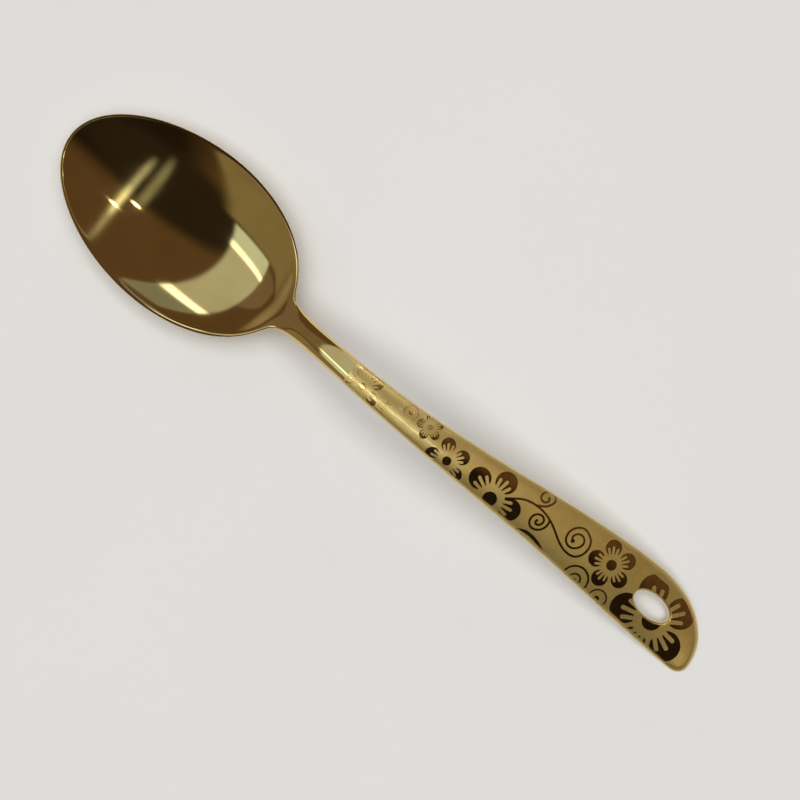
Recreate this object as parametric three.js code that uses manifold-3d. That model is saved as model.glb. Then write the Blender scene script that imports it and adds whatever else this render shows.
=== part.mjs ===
// A gold-coloured serving spoon, lying on its back on a table.
// Millimetres, +Z up. +X runs from the bowl to the end of the handle, and the handle flares towards +Y.
// The real spoon is one stamping. Its sections meet face to face at planes across its length.
import * as THREE from 'three';
import { mergeVertices } from 'three/addons/utils/BufferGeometryUtils.js';
import Module from 'manifold-3d';

const OVERALL_LENGTH = 235;

// Bowl: an egg in plan, fuller towards the neck
const BOWL_LENGTH = 79.4;
const BOWL_WIDTH = 49.2;
const BOWL_EGG = 0.157;
const BOWL_DEPTH = 10.2;
const BOWL_FULLNESS = 0.1;
const BOWL_WALL = 1.3;
const RIM_WIDTH = 0.6;
const RIM_HEIGHT = 0.25;
const RIM_ROUND = 0.35;
const TIP_DROP = 1.6;
const LEVEL_REACH = 0.6;
const LEVEL_RISE = 0.5;

// Neck: a rounded bar that runs out of the bowl through a soft lip above and a heel below
const NECK_WIDTH = 6.9;
const NECK_REACH = 13;
const NECK_EDGE = 2.6;
const NECK_CROWN = 1.1;
const NECK_BELLY = 0.7;
const NECK_ROUND = 1;
const NECK_RISE = 9.6;
const THROAT_RISE = 2.8;
const NECK_BLEND = 22;
const SHOULDER_ROUND = 7.6;
const SHOULDER_SPREAD = 28;
const LIP_ROUND = 2.4;
const HEEL_ROUND = 6;
const LIP_SPREAD = 6;

// Handle: one long side is nearly straight and the other flares out to a slanted round end.
// Its back follows the crowned face, and is flat again near the end
const CREST_REACH = 36;
const CREST_RISE = 17.2;
const FLARE_SIDE = 15.4;
const STRAIGHT_SIDE = 4.2;
const END_SIDE = 5.5;
const WIDEST_INSET = 26.5;
const HANDLE_EDGE = 1.5;
const HANDLE_CROWN = 1.5;
const BACK_RISE = 0.9;
const BACK_FLAT_REACH = 7;
const EDGE_ROUND = 1.8;
const END_SWEEP = 30;
const END_SWEEP_POWER = 2.6;
const END_CORNER = 4.8;
const END_CORNER_POWER = 2.6;
const END_TIP_SIDE = -2;
const END_DROP = 0.28;

// Hanging eye: an oval punched square to the handle
const EYE_LENGTH = 13.2;
const EYE_WIDTH = 6.4;
const EYE_INSET = 20.55;
const EYE_SIDE = 4.85;

// Contact flats under the bowl and under the end of the handle
const REST_FLAT = 0.36;
const REST_INSET = 3.5;

// Where the sections meet, measured from the neck's narrowest place and from the handle's end
const BOWL_JOIN_INSET = 8.2;
const SATIN_REACH = 13;
const END_JOIN_INSET = 33;

// How finely the solids are cut up
const BOWL_HALF_STEPS = 14;
const LIP_STEPS = 3;
const NECK_STEPS = 12;
const STEM_STEPS = 24;
const END_STEPS = 18;
const NOSE_STEPS = 3;
const SPAN_STEPS = 16;
const EYE_STEPS = 20;
const SLOPE_STEP = 0.004;
const SETTLE_STEP = 0.25;
const NOSE_SHARE = 0.42;
const PUNCH_LENGTH = 12;
const EDGE_SOFTNESS = 0.05;
const LEVEL_SLOPE = 0.02;
const MERGE_GAP = 1e-4;
const POINT_WIDTH = 1e-3;

// Shape of the handle between the neck (0) and its widest place (1): how much of the flare has opened,
// and where the straight side has the neck's half width, its own reach and the end's
const FLARE_SHARES = [
  [-0.4, 0], [0, 0], [0.21, 0.065], [0.43, 0.28],
  [0.66, 0.615], [0.89, 0.91], [1, 0.99], [1.25, 1],
];
const NECK_SIDE_SHARES = [-0.4, 0];
const STRAIGHT_SIDE_SHARES = [0.24, 0.75];
const END_SIDE_SHARES = [1.1, 1.3];

// How much of its height the handle has lost on the way from its crest (0) to the table (1)
const DESCENT_SHARES = [[0.42, 0.37], [0.74, 0.74]];

const bowlMiddle = BOWL_LENGTH / 2;
const neckStation = BOWL_LENGTH + NECK_REACH;
const crestStation = neckStation + CREST_REACH;
const widestStation = OVERALL_LENGTH - WIDEST_INSET;
const eyeStation = OVERALL_LENGTH - EYE_INSET;
const restStation = OVERALL_LENGTH - REST_INSET;
const bowlJoin = neckStation - BOWL_JOIN_INSET;
const satinStart = neckStation + SATIN_REACH;
const endJoin = OVERALL_LENGTH - END_JOIN_INSET;

const clamp = (t) => Math.min(Math.max(t, 0), 1);
const ease = (t) => clamp(t) ** 2 * (3 - 2 * clamp(t));
const mix = (a, b, t) => a + (b - a) * t;

// A natural cubic curve through knots of [station, value], level beyond both ends
function curve(knots) {
  const last = knots.length - 1;
  const bend = new Array(knots.length).fill(0);
  const load = new Array(knots.length).fill(0);
  for (let i = 1; i < last; i += 1) {
    const [x0, y0] = knots[i - 1];
    const [x1, y1] = knots[i];
    const [x2, y2] = knots[i + 1];
    const share = (x1 - x0) / (x2 - x0);
    const pivot = share * bend[i - 1] + 2;
    const kink = (y2 - y1) / (x2 - x1) - (y1 - y0) / (x1 - x0);
    load[i] = ((6 * kink) / (x2 - x0) - share * load[i - 1]) / pivot;
    bend[i] = (share - 1) / pivot;
  }
  bend[last] = 0;
  for (let i = last - 1; i > 0; i -= 1) {
    bend[i] = bend[i] * bend[i + 1] + load[i];
  }
  return (s) => {
    const at = Math.min(Math.max(s, knots[0][0]), knots[last][0]);
    let i = 1;
    while (i < last && at > knots[i][0]) {
      i += 1;
    }
    const [x0, y0] = knots[i - 1];
    const [x1, y1] = knots[i];
    const gap = x1 - x0;
    const a = (x1 - at) / gap;
    const b = 1 - a;
    const sag = ((a ** 3 - a) * bend[i - 1] + (b ** 3 - b) * bend[i]) * gap ** 2;
    return a * y0 + b * y1 + sag / 6;
  };
}

// Plan outline
const eggShape = (x) => (1 - x * x) * (1 + BOWL_EGG * x);
const eggPeak = (Math.sqrt(1 + 3 * BOWL_EGG ** 2) - 1) / (3 * BOWL_EGG);
const egg = (s) => eggShape((2 * s) / BOWL_LENGTH - 1) / eggShape(eggPeak);
const handleShare = (s) => (s - neckStation) / (widestStation - neckStation);
const flare = curve(FLARE_SHARES);
const flareSide = (s) => mix(NECK_WIDTH / 2, FLARE_SIDE, flare(handleShare(s)));
const straight = curve([
  ...NECK_SIDE_SHARES.map((way) => [way, NECK_WIDTH / 2]),
  ...STRAIGHT_SIDE_SHARES.map((way) => [way, STRAIGHT_SIDE]),
  ...END_SIDE_SHARES.map((way) => [way, END_SIDE]),
]);
const straightSide = (s) => straight(handleShare(s));
const shoulder = (s) => (SHOULDER_ROUND * ease((s - bowlMiddle) / SHOULDER_SPREAD)) ** 2;
const closing = (s, length, power) => {
  const t = clamp((s - OVERALL_LENGTH + length) / length);
  return Math.sqrt(Math.max(1 - t ** power, 0));
};
const endOpen = (s) => closing(s, END_SWEEP, END_SWEEP_POWER);

// The bowl's egg and the handle's side run into each other through a soft shoulder
function side(s, handle) {
  const bowl = egg(s) * (BOWL_WIDTH / 2) ** 2;
  if (s <= bowlMiddle) {
    return Math.sqrt(Math.max(bowl, 0));
  }
  const bar = handle ** 2;
  return Math.sqrt((bowl + bar + Math.hypot(bowl - bar, shoulder(s))) / 2);
}

const upperEdge = (s) => {
  const reach = side(s, flareSide(s));
  return mix(END_TIP_SIDE, reach, endOpen(s));
};
const lowerEdge = (s) => {
  const reach = -side(s, straightSide(s));
  return mix(END_TIP_SIDE, reach, closing(s, END_CORNER, END_CORNER_POWER));
};

// Sections along the length: 0 in the bowl, 1 from the neck on
const barShare = (s) => ease((s - neckStation + NECK_BLEND) / NECK_BLEND);
const taper = (s) => ease((s - neckStation) / (endJoin - neckStation));
const edgeHalf = (s) => mix(NECK_EDGE, HANDLE_EDGE, taper(s)) / 2;
const topEdge = (s) => mix(RIM_HEIGHT, edgeHalf(s), barShare(s));
const backEdge = (s) => edgeHalf(s) * barShare(s);
const crown = (s) => mix(NECK_CROWN, HANDLE_CROWN, taper(s)) * barShare(s) * endOpen(s);
const backRise = (s) => {
  const left = OVERALL_LENGTH - BACK_FLAT_REACH - s;
  return BACK_RISE * ease(left / (END_JOIN_INSET - BACK_FLAT_REACH));
};
const belly = (s) => mix(NECK_BELLY, -backRise(s), taper(s)) * barShare(s);
const noseWidth = (s) => mix(RIM_WIDTH / 2, mix(NECK_ROUND, EDGE_ROUND, taper(s)), barShare(s));

// Hollow of the bowl and the swell of its back, as depths under the edge line
const fullness = (t) => (1 + BOWL_FULLNESS) * t - BOWL_FULLNESS * t * t;
const slopeOf = (line, s) => (line(s + SLOPE_STEP) - line(s - SLOPE_STEP)) / (2 * SLOPE_STEP);
function bowlDepth(s, y, inset, edgeRound, neckRound, depth) {
  const half = BOWL_WIDTH / 2;
  const level = egg(s) - (y / half) ** 2;
  const slope = Math.hypot(slopeOf(egg, s), (2 * y) / half ** 2, LEVEL_SLOPE);
  const neckward = ease((s - bowlMiddle) / bowlMiddle) * Math.exp(-((y / LIP_SPREAD) ** 2));
  const soft = mix(edgeRound, neckRound, neckward) * slope;
  const inner = level - inset * slope;
  const fade = 1 - ease((s - BOWL_LENGTH) / (satinStart - BOWL_LENGTH));
  return depth * fullness((inner + Math.hypot(inner, soft)) / 2) * fade;
}
const hollow = (s, y) => bowlDepth(s, y, RIM_WIDTH, RIM_ROUND, LIP_ROUND, BOWL_DEPTH + RIM_HEIGHT);
const swell = (s, y) => bowlDepth(s, y, 0, EDGE_SOFTNESS, HEEL_ROUND, BOWL_DEPTH + BOWL_WALL);

// Height of the edge line along the length, set so that the bowl and the handle both rest on the table
const restEdge = edgeHalf(restStation) - REST_FLAT;
const edgeLine = (rim) => curve([
  [0, rim - TIP_DROP],
  [bowlMiddle, rim],
  [mix(bowlMiddle, BOWL_LENGTH, LEVEL_REACH), rim + LEVEL_RISE],
  [BOWL_LENGTH, rim + THROAT_RISE],
  [neckStation, rim + NECK_RISE],
  [crestStation, rim + CREST_RISE],
  ...DESCENT_SHARES.map(([way, lost]) => [
    mix(crestStation, restStation, way),
    mix(rim + CREST_RISE, restEdge, lost),
  ]),
  [restStation, restEdge],
  [OVERALL_LENGTH, restEdge - END_DROP],
]);
function lowestUnderBowl(rim) {
  const line = edgeLine(rim);
  let low = Infinity;
  for (let s = 0; s < BOWL_LENGTH; s += SETTLE_STEP) {
    low = Math.min(low, line(s) - swell(s, 0));
  }
  return low;
}
const rimGuess = BOWL_DEPTH + BOWL_WALL;
const rimHeight = rimGuess - lowestUnderBowl(rimGuess) - REST_FLAT;
const edgeHeight = edgeLine(rimHeight);

// Upper and lower surface over one point of the plan, meeting at the outline
function skins(s, y) {
  const upper = upperEdge(s);
  const lower = lowerEdge(s);
  const half = (upper - lower) / 2;
  const level = (upper - y) * (y - lower);
  const along = slopeOf(upperEdge, s) * (y - lower) - slopeOf(lowerEdge, s) * (upper - y);
  const inset = level / Math.hypot(along, upper + lower - 2 * y, POINT_WIDTH);
  const nose = Math.sqrt(1 - (1 - clamp(inset / noseWidth(s))) ** 2);
  const bulge = half > 0 ? level / half ** 2 : 0;
  const top = topEdge(s) + crown(s) * bulge - hollow(s, y);
  const back = backEdge(s) + belly(s) * bulge + swell(s, y);
  const edge = edgeHeight(s);
  return { top: edge + nose * top, back: Math.max(edge - nose * back, 0) };
}

// One row of points across the spoon, closer together at the rounded edges
function crossRow(s) {
  const upper = upperEdge(s);
  const lower = lowerEdge(s);
  const middle = (upper + lower) / 2;
  const half = (upper - lower) / 2;
  const row = [];
  if (half < POINT_WIDTH) {
    return [{ y: middle, top: edgeHeight(s), back: edgeHeight(s) }];
  }
  const places = (edge) => {
    const stretch = Math.hypot(1, slopeOf(edge, s));
    const nose = Math.min((noseWidth(s) * stretch) / half, NOSE_SHARE);
    const list = [];
    for (let i = 0; i <= NOSE_STEPS; i += 1) {
      list.push(1 - nose * (1 - Math.cos((i / NOSE_STEPS) * (Math.PI / 2))));
    }
    return list;
  };
  const right = places(lowerEdge).map((v) => -v);
  const left = places(upperEdge).reverse();
  const from = right[NOSE_STEPS];
  const to = left[0];
  const spread = [];
  for (let i = 1; i < SPAN_STEPS; i += 1) {
    spread.push(mix(from, to, i / SPAN_STEPS));
  }
  const across = [...right, ...spread, ...left];
  across.forEach((v, i) => {
    const y = middle + half * v;
    const rim = i === 0 || i === across.length - 1;
    const skin = rim ? { top: edgeHeight(s), back: edgeHeight(s) } : skins(s, y);
    row.push({ y, top: skin.top, back: skin.back });
  });
  return row;
}

// Stations of the rows: close together at the tip, through the shoulder and round the handle's end
function stations(from, to, count, spacing) {
  const list = [];
  for (let i = 0; i <= count; i += 1) {
    list.push(mix(from, to, spacing(i / count)));
  }
  return list;
}
const even = (t) => t;
const closeAtStart = (t) => 1 - Math.cos((t * Math.PI) / 2);
const closeAtEnd = (t) => Math.sin((t * Math.PI) / 2);

// A closed solid from rows of points, capped where it starts or ends on a plane
function loft(rows, places) {
  const triangles = [];
  const put = (a, b, c) => triangles.push(...a, ...b, ...c);
  const spot = (row, i, skin) => {
    const point = row[Math.min(i, row.length - 1)];
    return [places[rows.indexOf(row)] - OVERALL_LENGTH / 2, point.y, point[skin]];
  };
  const columns = Math.max(...rows.map((row) => row.length));
  for (let r = 0; r < rows.length - 1; r += 1) {
    for (let i = 0; i < columns - 1; i += 1) {
      for (const skin of ['top', 'back']) {
        const a = spot(rows[r], i, skin);
        const b = spot(rows[r + 1], i, skin);
        const c = spot(rows[r + 1], i + 1, skin);
        const d = spot(rows[r], i + 1, skin);
        const quad = skin === 'top' ? [a, b, c, d] : [d, c, b, a];
        const halves = skin === 'top' ? [[0, 1, 2], [0, 2, 3]] : [[0, 1, 3], [1, 2, 3]];
        halves.forEach(([p, q, w]) => put(quad[p], quad[q], quad[w]));
      }
    }
  }
  for (const [row, forward] of [[rows[0], false], [rows[rows.length - 1], true]]) {
    for (let i = 0; i < row.length - 1; i += 1) {
      const a = spot(row, i, 'back');
      const b = spot(row, i + 1, 'back');
      const c = spot(row, i + 1, 'top');
      const d = spot(row, i, 'top');
      const quad = forward ? [a, b, c, d] : [d, c, b, a];
      put(quad[0], quad[1], quad[2]);
      put(quad[0], quad[2], quad[3]);
    }
  }
  const geometry = new THREE.BufferGeometry();
  geometry.setAttribute('position', new THREE.Float32BufferAttribute(triangles, 3));
  return closed(geometry);
}

// Shared corners joined, and faces that close up to a line taken out
function closed(geometry) {
  geometry.deleteAttribute('normal');
  geometry.deleteAttribute('uv');
  const joined = mergeVertices(geometry, MERGE_GAP);
  const index = joined.getIndex().array;
  const kept = [];
  for (let i = 0; i < index.length; i += 3) {
    const [a, b, c] = [index[i], index[i + 1], index[i + 2]];
    if (a !== b && b !== c && c !== a) {
      kept.push(a, b, c);
    }
  }
  joined.setIndex(kept);
  return joined;
}

const wasm = await Module();
wasm.setup();
const solid = (geometry) => new wasm.Manifold(new wasm.Mesh({
  numProp: 3,
  vertProperties: new Float32Array(geometry.getAttribute('position').array),
  triVerts: new Uint32Array(geometry.getIndex().array),
}));
function geometryOf(manifold) {
  const mesh = manifold.getMesh();
  const geometry = new THREE.BufferGeometry();
  geometry.setAttribute('position', new THREE.BufferAttribute(new Float32Array(mesh.vertProperties), 3));
  geometry.setIndex(new THREE.BufferAttribute(new Uint32Array(mesh.triVerts), 1));
  return geometry;
}

// The punch that leaves the oval eye, square to the handle where it passes through
function eyePunch() {
  const oval = new THREE.Shape();
  oval.absellipse(0, 0, EYE_LENGTH / 2, EYE_WIDTH / 2, 0, Math.PI * 2, false, 0);
  const punch = new THREE.ExtrudeGeometry(oval, {
    depth: PUNCH_LENGTH,
    bevelEnabled: false,
    curveSegments: EYE_STEPS,
  });
  punch.translate(0, 0, -PUNCH_LENGTH / 2);
  punch.rotateY(-Math.atan(slopeOf(edgeHeight, eyeStation)));
  punch.translate(eyeStation - OVERALL_LENGTH / 2, EYE_SIDE, edgeHeight(eyeStation));
  return closed(punch);
}

const polished = new THREE.MeshStandardMaterial({ color: 0xc79a45, roughness: 0.12, metalness: 1 });
const satin = new THREE.MeshStandardMaterial({ color: 0xb8924a, roughness: 0.4, metalness: 1 });

const spoon = new THREE.Group();
spoon.name = 'serving_spoon';
function section(name, places, material, cutter) {
  const body = loft(places.map(crossRow), places);
  const shape = cutter ? geometryOf(solid(body).subtract(solid(cutter))) : body;
  shape.computeVertexNormals();
  const mesh = new THREE.Mesh(shape, material);
  mesh.name = name;
  spoon.add(mesh);
}

const bowlRows = [
  ...stations(0, bowlMiddle, BOWL_HALF_STEPS, closeAtStart),
  ...stations(bowlMiddle, BOWL_LENGTH, BOWL_HALF_STEPS, closeAtEnd).slice(1),
  ...stations(BOWL_LENGTH, bowlJoin, LIP_STEPS, even).slice(1),
];
section('bowl', bowlRows, polished);
section('neck', stations(bowlJoin, satinStart, NECK_STEPS, even), polished);
section('stem', stations(satinStart, endJoin, STEM_STEPS, even), satin);
section('handle_end', stations(endJoin, OVERALL_LENGTH, END_STEPS, closeAtEnd), satin, eyePunch());

export default spoon;
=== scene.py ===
"""A gold-coloured serving spoon lying on its back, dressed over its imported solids.

Lengths are in millimetres until a mesh is made. A place on the spoon is given by s, the distance
along the spoon from the tip of the bowl, and by y, the distance from the bowl's centre line.
"""
import logging
import math
from dataclasses import dataclass, field
from enum import Enum
from functools import cached_property
from typing import Any, Callable

import bpy
import numpy as np
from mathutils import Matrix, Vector


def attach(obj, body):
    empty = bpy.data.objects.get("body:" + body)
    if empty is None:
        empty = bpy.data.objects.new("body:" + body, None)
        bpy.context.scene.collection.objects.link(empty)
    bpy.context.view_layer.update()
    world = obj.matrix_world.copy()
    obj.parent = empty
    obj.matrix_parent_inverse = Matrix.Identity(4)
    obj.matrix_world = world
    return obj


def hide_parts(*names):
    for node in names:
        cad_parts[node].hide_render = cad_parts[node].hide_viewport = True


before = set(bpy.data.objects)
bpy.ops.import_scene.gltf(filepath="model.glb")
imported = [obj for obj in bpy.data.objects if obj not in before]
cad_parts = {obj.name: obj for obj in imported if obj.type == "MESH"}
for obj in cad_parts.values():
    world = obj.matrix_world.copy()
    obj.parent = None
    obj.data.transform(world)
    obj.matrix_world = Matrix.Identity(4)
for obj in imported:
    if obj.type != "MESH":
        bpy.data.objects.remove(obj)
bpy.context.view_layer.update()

Array = np.ndarray
Colour = tuple[float, float, float]
Place = tuple[float, float]
Spot = tuple[float, float, float]
Area = tuple[float, float, float, float]
Face = tuple[int, ...]
Field = Callable[[Array, Array], Array]
MM = 0.001
SMALL = 1e-6
TINY = 1e-12
WHITE = (1.0, 1.0, 1.0)
WINDOW_LEAN = (29.6, 56.0)
SATIN_MASK = "satin"
LOG = logging.getLogger("serving_spoon")


class Gold(Enum):
    """The finishes of the spoon's metal."""

    POLISHED = "polished_gold"
    SATIN = "satin_gold"


def ease(t: Array) -> Array:
    """Gives a smooth step from 0 to 1."""
    t = np.clip(t, 0.0, 1.0)
    return t * t * (3.0 - 2.0 * t)


def ramp(value: Array, limits: Place) -> Array:
    """Gives a smooth step from 0 at the first limit to 1 at the second."""
    return ease((value - limits[0]) / (limits[1] - limits[0]))


def mix(a: Any, b: Any, t: Any) -> Any:
    """Gives the value a share t of the way from a to b."""
    return a + (b - a) * t


def slope_of(line: Callable[[Array], Array], s: Array, step: float = 0.004) -> Array:
    """Gives the slope of a line at each place."""
    return (line(s + step) - line(s - step)) / (2.0 * step)


class Curve:
    """A natural cubic curve through knots, level beyond both ends."""

    def __init__(self, knots: list[Place]) -> None:
        """Works out how much the curve bends at each knot.

        Args:
            knots: pairs of place and value, in the order of their places.
        """
        self.place = np.array([knot[0] for knot in knots], float)
        self.value = np.array([knot[1] for knot in knots], float)
        gap = np.diff(self.place)
        rise = np.diff(self.value) / gap
        matrix = np.eye(len(knots))
        load = np.zeros(len(knots))
        for i in range(1, len(knots) - 1):
            matrix[i, i - 1:i + 2] = gap[i - 1], 2.0 * (gap[i - 1] + gap[i]), gap[i]
            load[i] = 6.0 * (rise[i] - rise[i - 1])
        self.bend = np.linalg.solve(matrix, load)

    def __call__(self, at: Array) -> Array:
        """Gives the curve's value at each place.

        Args:
            at: the places.

        Returns:
            The values there.
        """
        at = np.clip(at, self.place[0], self.place[-1])
        i = np.clip(np.searchsorted(self.place, at), 1, len(self.place) - 1)
        gap = self.place[i] - self.place[i - 1]
        a = (self.place[i] - at) / gap
        b = 1.0 - a
        sag = (a**3 - a) * self.bend[i - 1] + (b**3 - b) * self.bend[i]
        return a * self.value[i - 1] + b * self.value[i] + sag * gap**2 / 6.0


@dataclass(frozen=True)
class SpoonForm:
    """Shape of the bare spoon: its outline in plan and the heights of its upper and lower skin."""

    overall_length: float = 235.0

    bowl_length: float = 79.4
    bowl_width: float = 49.2
    bowl_egg: float = 0.157
    bowl_depth: float = 10.2
    bowl_fullness: float = 0.1
    bowl_wall: float = 1.3
    rim_width: float = 0.6
    rim_height: float = 0.25
    rim_round: float = 0.35
    tip_drop: float = 1.6
    level_reach: float = 0.6
    level_rise: float = 0.5

    neck_width: float = 6.9
    neck_reach: float = 13.0
    neck_edge: float = 2.6
    neck_crown: float = 1.1
    neck_belly: float = 0.7
    neck_round: float = 1.0
    neck_rise: float = 9.6
    throat_rise: float = 2.8
    neck_blend: float = 22.0
    shoulder_round: float = 7.6
    shoulder_spread: float = 28.0
    lip_round: float = 2.4
    heel_round: float = 6.0
    lip_spread: float = 6.0

    crest_reach: float = 36.0
    crest_rise: float = 17.2
    flare_side: float = 15.4
    straight_side: float = 4.2
    end_side: float = 5.5
    widest_inset: float = 26.5
    handle_edge: float = 1.5
    handle_crown: float = 1.5
    back_rise: float = 0.9
    back_flat_reach: float = 7.0
    edge_round: float = 1.8
    end_sweep: float = 30.0
    end_sweep_power: float = 2.6
    end_corner: float = 4.8
    end_corner_power: float = 2.6
    end_tip_side: float = -2.0
    end_drop: float = 0.28

    eye_length: float = 13.2
    eye_width: float = 6.4
    eye_inset: float = 20.55
    eye_side: float = 4.85
    eye_round: float = 0.75

    rest_flat: float = 0.36
    rest_inset: float = 3.5
    bowl_join_inset: float = 8.2
    satin_reach: float = 13.0
    end_join_inset: float = 33.0

    edge_softness: float = 0.05
    level_slope: float = 0.02
    settle_step: float = 0.25
    flare_knots: tuple[Place, ...] = (
        (-0.4, 0.0), (0.0, 0.0), (0.21, 0.065), (0.43, 0.28),
        (0.66, 0.615), (0.89, 0.91), (1.0, 0.99), (1.25, 1.0),
    )
    straight_ways: tuple[float, ...] = (-0.4, 0.0, 0.24, 0.75, 1.1, 1.3)
    descent_knots: tuple[Place, ...] = ((0.42, 0.37), (0.74, 0.74))

    @cached_property
    def middle(self) -> float:
        """Place of the bowl's middle."""
        return self.bowl_length / 2.0

    @cached_property
    def neck(self) -> float:
        """Place of the neck's narrowest section."""
        return self.bowl_length + self.neck_reach

    @cached_property
    def bowl_join(self) -> float:
        """Place where the bowl ends and the neck starts."""
        return self.neck - self.bowl_join_inset

    @cached_property
    def satin_start(self) -> float:
        """Place where the neck ends and the satin handle starts."""
        return self.neck + self.satin_reach

    @cached_property
    def crest(self) -> float:
        """Place of the arch's highest knot."""
        return self.neck + self.crest_reach

    @cached_property
    def widest(self) -> float:
        """Place where the handle is widest."""
        return self.overall_length - self.widest_inset

    @cached_property
    def end_join(self) -> float:
        """Place where the handle's stem ends and its end starts."""
        return self.overall_length - self.end_join_inset

    @cached_property
    def rest(self) -> float:
        """Place where the handle rests on the table."""
        return self.overall_length - self.rest_inset

    @cached_property
    def eye_place(self) -> Place:
        """Middle of the hanging eye."""
        return self.overall_length - self.eye_inset, self.eye_side

    @cached_property
    def flare(self) -> Curve:
        """How much of the handle's flare has opened, from the neck (0) to the widest place (1)."""
        return Curve(list(self.flare_knots))

    @cached_property
    def straight(self) -> Curve:
        """How far the straight side stands out, from the neck (0) to the widest place (1)."""
        sides = (self.neck_width / 2.0,) * 2 + (self.straight_side,) * 2 + (self.end_side,) * 2
        return Curve(list(zip(self.straight_ways, sides)))

    def egg(self, s: Array) -> Array:
        """Gives the square of the bowl's half width, as a share of its largest.

        Args:
            s: places along the spoon.

        Returns:
            The shares there.
        """
        def shape(x: Any) -> Any:
            """Gives the plain egg from -1 to 1."""
            return (1.0 - x * x) * (1.0 + self.bowl_egg * x)

        peak = (math.sqrt(1.0 + 3.0 * self.bowl_egg**2) - 1.0) / (3.0 * self.bowl_egg)
        return shape(2.0 * s / self.bowl_length - 1.0) / shape(peak)

    def handle_share(self, s: Array) -> Array:
        """Gives how far each place is from the neck (0) to the handle's widest place (1)."""
        return (s - self.neck) / (self.widest - self.neck)

    def side(self, s: Array, handle: Array) -> Array:
        """Joins the bowl's egg and one side of the handle through a soft shoulder.

        Args:
            s: places along the spoon.
            handle: half width of the handle there.

        Returns:
            Half width of the spoon on that side.
        """
        bowl = self.egg(s) * (self.bowl_width / 2.0) ** 2
        bar = handle**2
        shoulder = (self.shoulder_round * ease((s - self.middle) / self.shoulder_spread)) ** 2
        joined = np.sqrt((bowl + bar + np.hypot(bowl - bar, shoulder)) / 2.0)
        return np.where(s <= self.middle, np.sqrt(np.maximum(bowl, 0.0)), joined)

    def closing(self, s: Array, length: float, power: float) -> Array:
        """Gives how far a side is still open, over the last length of the handle."""
        t = np.clip((s - self.overall_length + length) / length, 0.0, 1.0)
        return np.sqrt(np.maximum(1.0 - t**power, 0.0))

    def upper(self, s: Array) -> Array:
        """Gives y of the outline on the flared side.

        Args:
            s: places along the spoon.

        Returns:
            Places across it.
        """
        flared = mix(self.neck_width / 2.0, self.flare_side, self.flare(self.handle_share(s)))
        open_share = self.closing(s, self.end_sweep, self.end_sweep_power)
        return mix(self.end_tip_side, self.side(s, flared), open_share)

    def lower(self, s: Array) -> Array:
        """Gives y of the outline on the straight side."""
        reach = -self.side(s, self.straight(self.handle_share(s)))
        return mix(self.end_tip_side, reach, self.closing(s, self.end_corner, self.end_corner_power))

    def bar(self, s: Array) -> Array:
        """Gives 0 in the bowl and 1 from the neck on."""
        return ease((s - self.neck + self.neck_blend) / self.neck_blend)

    def taper(self, s: Array) -> Array:
        """Gives 0 at the neck and 1 at the end of the handle."""
        return ease((s - self.neck) / (self.end_join - self.neck))

    def edge_half(self, s: Array) -> Array:
        """Gives half the thickness at the edges of the neck and the handle."""
        return mix(self.neck_edge, self.handle_edge, self.taper(s)) / 2.0

    def nose_width(self, s: Array) -> Array:
        """Gives how far in from the outline the edges are rounded."""
        bar_round = mix(self.neck_round, self.edge_round, self.taper(s))
        return mix(self.rim_width / 2.0, bar_round, self.bar(s))

    def cup(
        self, s: Array, y: Array, inset: float, edge_round: float, neck_round: float, depth: float
    ) -> Array:
        """Gives the depth of a cup with the bowl's outline.

        Args:
            s: places along the spoon.
            y: places across it.
            inset: how far inside the outline the cup starts.
            edge_round: softness of the cup's edge.
            neck_round: softness of its edge towards the neck.
            depth: depth at its deepest place.

        Returns:
            Depth below the edge line.
        """
        half = self.bowl_width / 2.0
        level = self.egg(s) - (y / half) ** 2
        slope = np.sqrt(slope_of(self.egg, s) ** 2 + (2.0 * y / half**2) ** 2 + self.level_slope**2)
        neckward = ease((s - self.middle) / self.middle) * np.exp(-((y / self.lip_spread) ** 2))
        soft = mix(edge_round, neck_round, neckward) * slope
        inner = level - inset * slope
        t = (inner + np.hypot(inner, soft)) / 2.0
        fade = 1.0 - ease((s - self.bowl_length) / (self.satin_start - self.bowl_length))
        return depth * ((1.0 + self.bowl_fullness) * t - self.bowl_fullness * t * t) * fade

    def hollow(self, s: Array, y: Array) -> Array:
        """Gives the depth of the bowl's inside."""
        depth = self.bowl_depth + self.rim_height
        return self.cup(s, y, self.rim_width, self.rim_round, self.lip_round, depth)

    def swell(self, s: Array, y: Array) -> Array:
        """Gives the depth of the bowl's back."""
        depth = self.bowl_depth + self.bowl_wall
        return self.cup(s, y, 0.0, self.edge_softness, self.heel_round, depth)

    def edge_line(self, rim: float) -> Curve:
        """Gives the height of the outline along the spoon.

        Args:
            rim: height of the bowl's rim at its middle.

        Returns:
            The curve of heights.
        """
        rest = float(self.edge_half(np.array(self.rest))) - self.rest_flat
        top = rim + self.crest_rise
        descent = [
            (mix(self.crest, self.rest, way), mix(top, rest, lost)) for way, lost in self.descent_knots
        ]
        return Curve([
            (0.0, rim - self.tip_drop),
            (self.middle, rim),
            (mix(self.middle, self.bowl_length, self.level_reach), rim + self.level_rise),
            (self.bowl_length, rim + self.throat_rise),
            (self.neck, rim + self.neck_rise),
            (self.crest, top),
            *descent,
            (self.rest, rest),
            (self.overall_length, rest - self.end_drop),
        ])

    @cached_property
    def edge(self) -> Curve:
        """Height of the outline, with the bowl and the handle both at rest on the table.

        Returns:
            The curve of heights along the spoon.
        """
        guess = self.bowl_depth + self.bowl_wall
        s = np.arange(0.0, self.bowl_length, self.settle_step)
        low = float(np.min(self.edge_line(guess)(s) - self.swell(s, np.zeros_like(s))))
        return self.edge_line(guess - low - self.rest_flat)

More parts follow.
